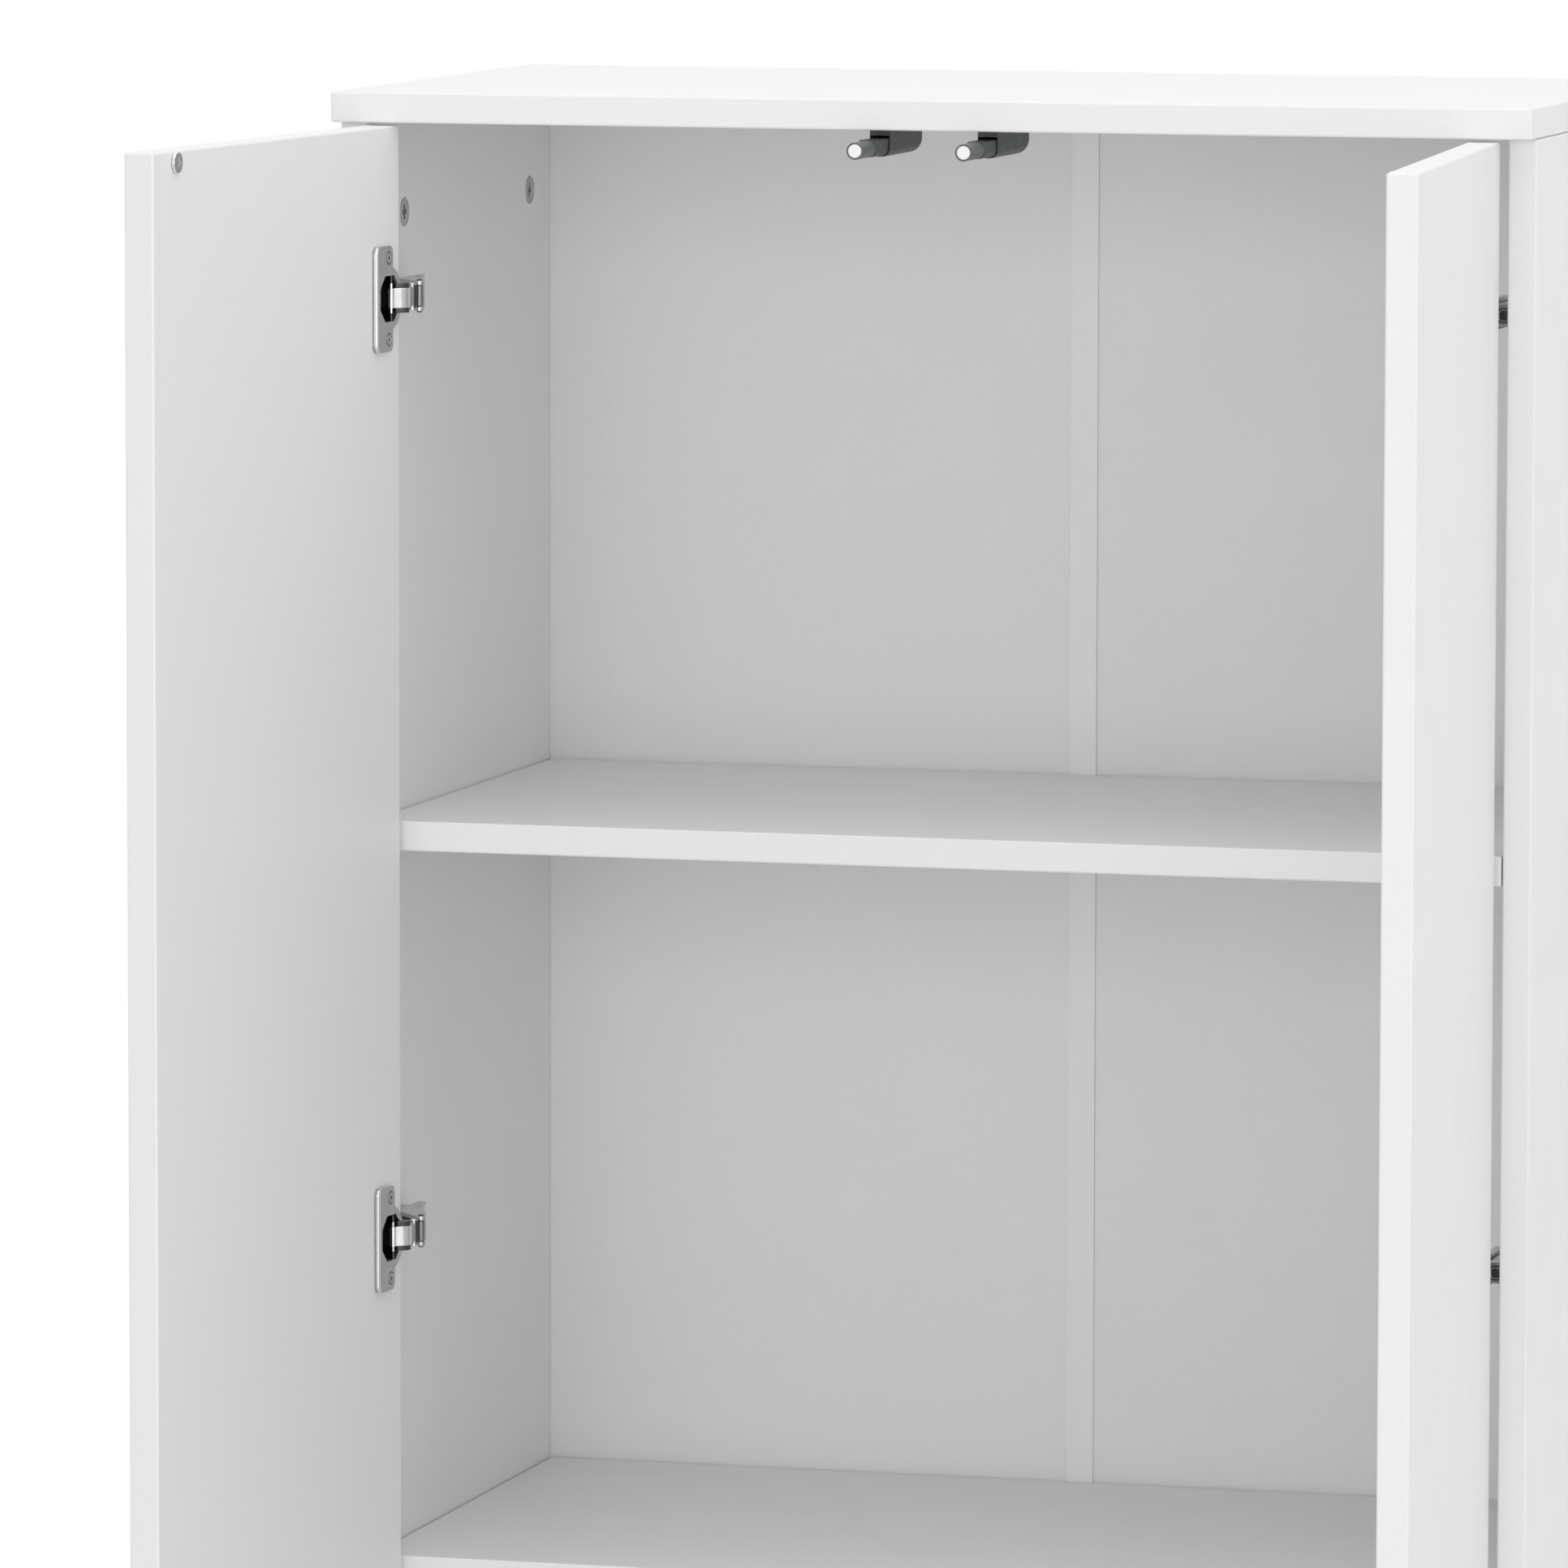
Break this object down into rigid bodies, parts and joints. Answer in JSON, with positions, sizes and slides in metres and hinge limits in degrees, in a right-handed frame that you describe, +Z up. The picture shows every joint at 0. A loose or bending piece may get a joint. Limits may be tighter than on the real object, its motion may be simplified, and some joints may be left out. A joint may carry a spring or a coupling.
{
  "type": "file cupboard",
  "caption": "Tall upright file cupboard in white board, with doors on concealed hinges standing open, adjustable shelves for ring binders, and push latches under an overhanging top.",
  "frame": {"origin": "on the floor, under the middle of the box round the cupboard with both doors open", "axes": "+Z up, the cupboard's long way; the front faces -Y; +X towards the right-hand side seen from the front"},
  "size_m": [0.6612, 0.6641, 1.25],
  "materials": {
    "white_board": "white melamine-faced board, satin",
    "back_sheet": "white lacquered fibreboard, matt",
    "white_plastic": "white, satin",
    "latch_tip": "white, matt",
    "grey_plastic": "dark grey, fine grain",
    "plated_metal": "nickel plated, bright",
    "steel": "zinc plated, satin"
  },
  "bodies": {
    "carcass": {"top_panel": "white_board", "side_panel_left": "white_board", "side_panel_right": "white_board", "bottom_panel": "white_board", "plinth": "white_board", "shelf_upper": "white_board", "shelf_lower": "white_board", "back_sheet_left": "back_sheet", "back_sheet_right": "back_sheet", "back_joint_strip": "white_plastic", "hinge_arm_left_upper": "plated_metal", "hinge_arm_left_middle": "plated_metal", "hinge_arm_left_lower": "plated_metal", "hinge_arm_right_upper": "plated_metal", "hinge_arm_right_middle": "plated_metal", "hinge_arm_right_lower": "plated_metal", "hinge_plate_left_upper": "plated_metal", "hinge_plate_left_middle": "plated_metal", "hinge_plate_left_lower": "plated_metal", "hinge_plate_right_upper": "plated_metal", "hinge_plate_right_middle": "plated_metal", "hinge_plate_right_lower": "plated_metal", "push_latch_housing_left": "grey_plastic", "push_latch_housing_right": "grey_plastic", "cam_lock_left_front": "steel", "cam_lock_left_rear": "steel", "cam_lock_right_front": "steel", "cam_lock_right_rear": "steel", "cam_bolt_left_front": "steel", "cam_bolt_left_rear": "steel", "cam_bolt_right_front": "steel", "cam_bolt_right_rear": "steel", "shelf_pin_upper_left_front": "steel", "shelf_pin_upper_left_rear": "steel", "shelf_pin_upper_right_front": "steel", "shelf_pin_upper_right_rear": "steel", "shelf_pin_lower_left_front": "steel", "shelf_pin_lower_left_rear": "steel", "shelf_pin_lower_right_front": "steel", "shelf_pin_lower_right_rear": "steel"},
    "link_left": {"hinge_link_left_upper": "plated_metal", "hinge_link_left_middle": "plated_metal", "hinge_link_left_lower": "plated_metal"},
    "link_right": {"hinge_link_right_upper": "plated_metal", "hinge_link_right_middle": "plated_metal", "hinge_link_right_lower": "plated_metal"},
    "door_left": {"door_left": "white_board", "strike_disc_left": "steel", "hinge_cup_left_upper": "plated_metal", "hinge_cup_left_middle": "plated_metal", "hinge_cup_left_lower": "plated_metal"},
    "door_right": {"door_right": "white_board", "strike_disc_right": "steel", "hinge_cup_right_upper": "plated_metal", "hinge_cup_right_middle": "plated_metal", "hinge_cup_right_lower": "plated_metal"},
    "plunger_left": {"push_latch_plunger_left": "grey_plastic", "push_latch_tip_left": "latch_tip"},
    "plunger_right": {"push_latch_plunger_right": "grey_plastic", "push_latch_tip_right": "latch_tip"}
  },
  "joints": [
    {"name": "link_swing_left", "type": "hinge", "parent": "carcass", "child": "link_left", "pos_m": [-0.27872, -0.00505, 0], "axis": [0, 0, 1], "range_deg": [-64.76, 0]},
    {"name": "door_swing_left", "type": "hinge", "parent": "link_left", "child": "door_left", "pos_m": [-0.28634, -0.02996, 0], "axis": [0, 0, 1], "range_deg": [0, 159.76]},
    {"name": "plunger_slide_left", "type": "slide", "parent": "carcass", "child": "plunger_left", "axis": [0, 1, 0], "range_m": [0, 0.0416]},
    {"name": "link_swing_right", "type": "hinge", "parent": "carcass", "child": "link_right", "pos_m": [0.27872, -0.00505, 0], "axis": [0, 0, -1], "range_deg": [-64.76, 0]},
    {"name": "door_swing_right", "type": "hinge", "parent": "link_right", "child": "door_right", "pos_m": [0.28634, -0.02996, 0], "axis": [0, 0, -1], "range_deg": [0, 159.76]},
    {"name": "plunger_slide_right", "type": "slide", "parent": "carcass", "child": "plunger_right", "axis": [0, 1, 0], "range_m": [0, 0.0416]}
  ],
  "couplings": [
    {"joint": "link_swing_left", "follows": "door_swing_left", "ratio": -0.40535},
    {"joint": "plunger_slide_left", "follows": "door_swing_left", "m_per_rad": 0.014884},
    {"joint": "link_swing_right", "follows": "door_swing_right", "ratio": -0.40535},
    {"joint": "plunger_slide_right", "follows": "door_swing_right", "m_per_rad": 0.014884}
  ]
}
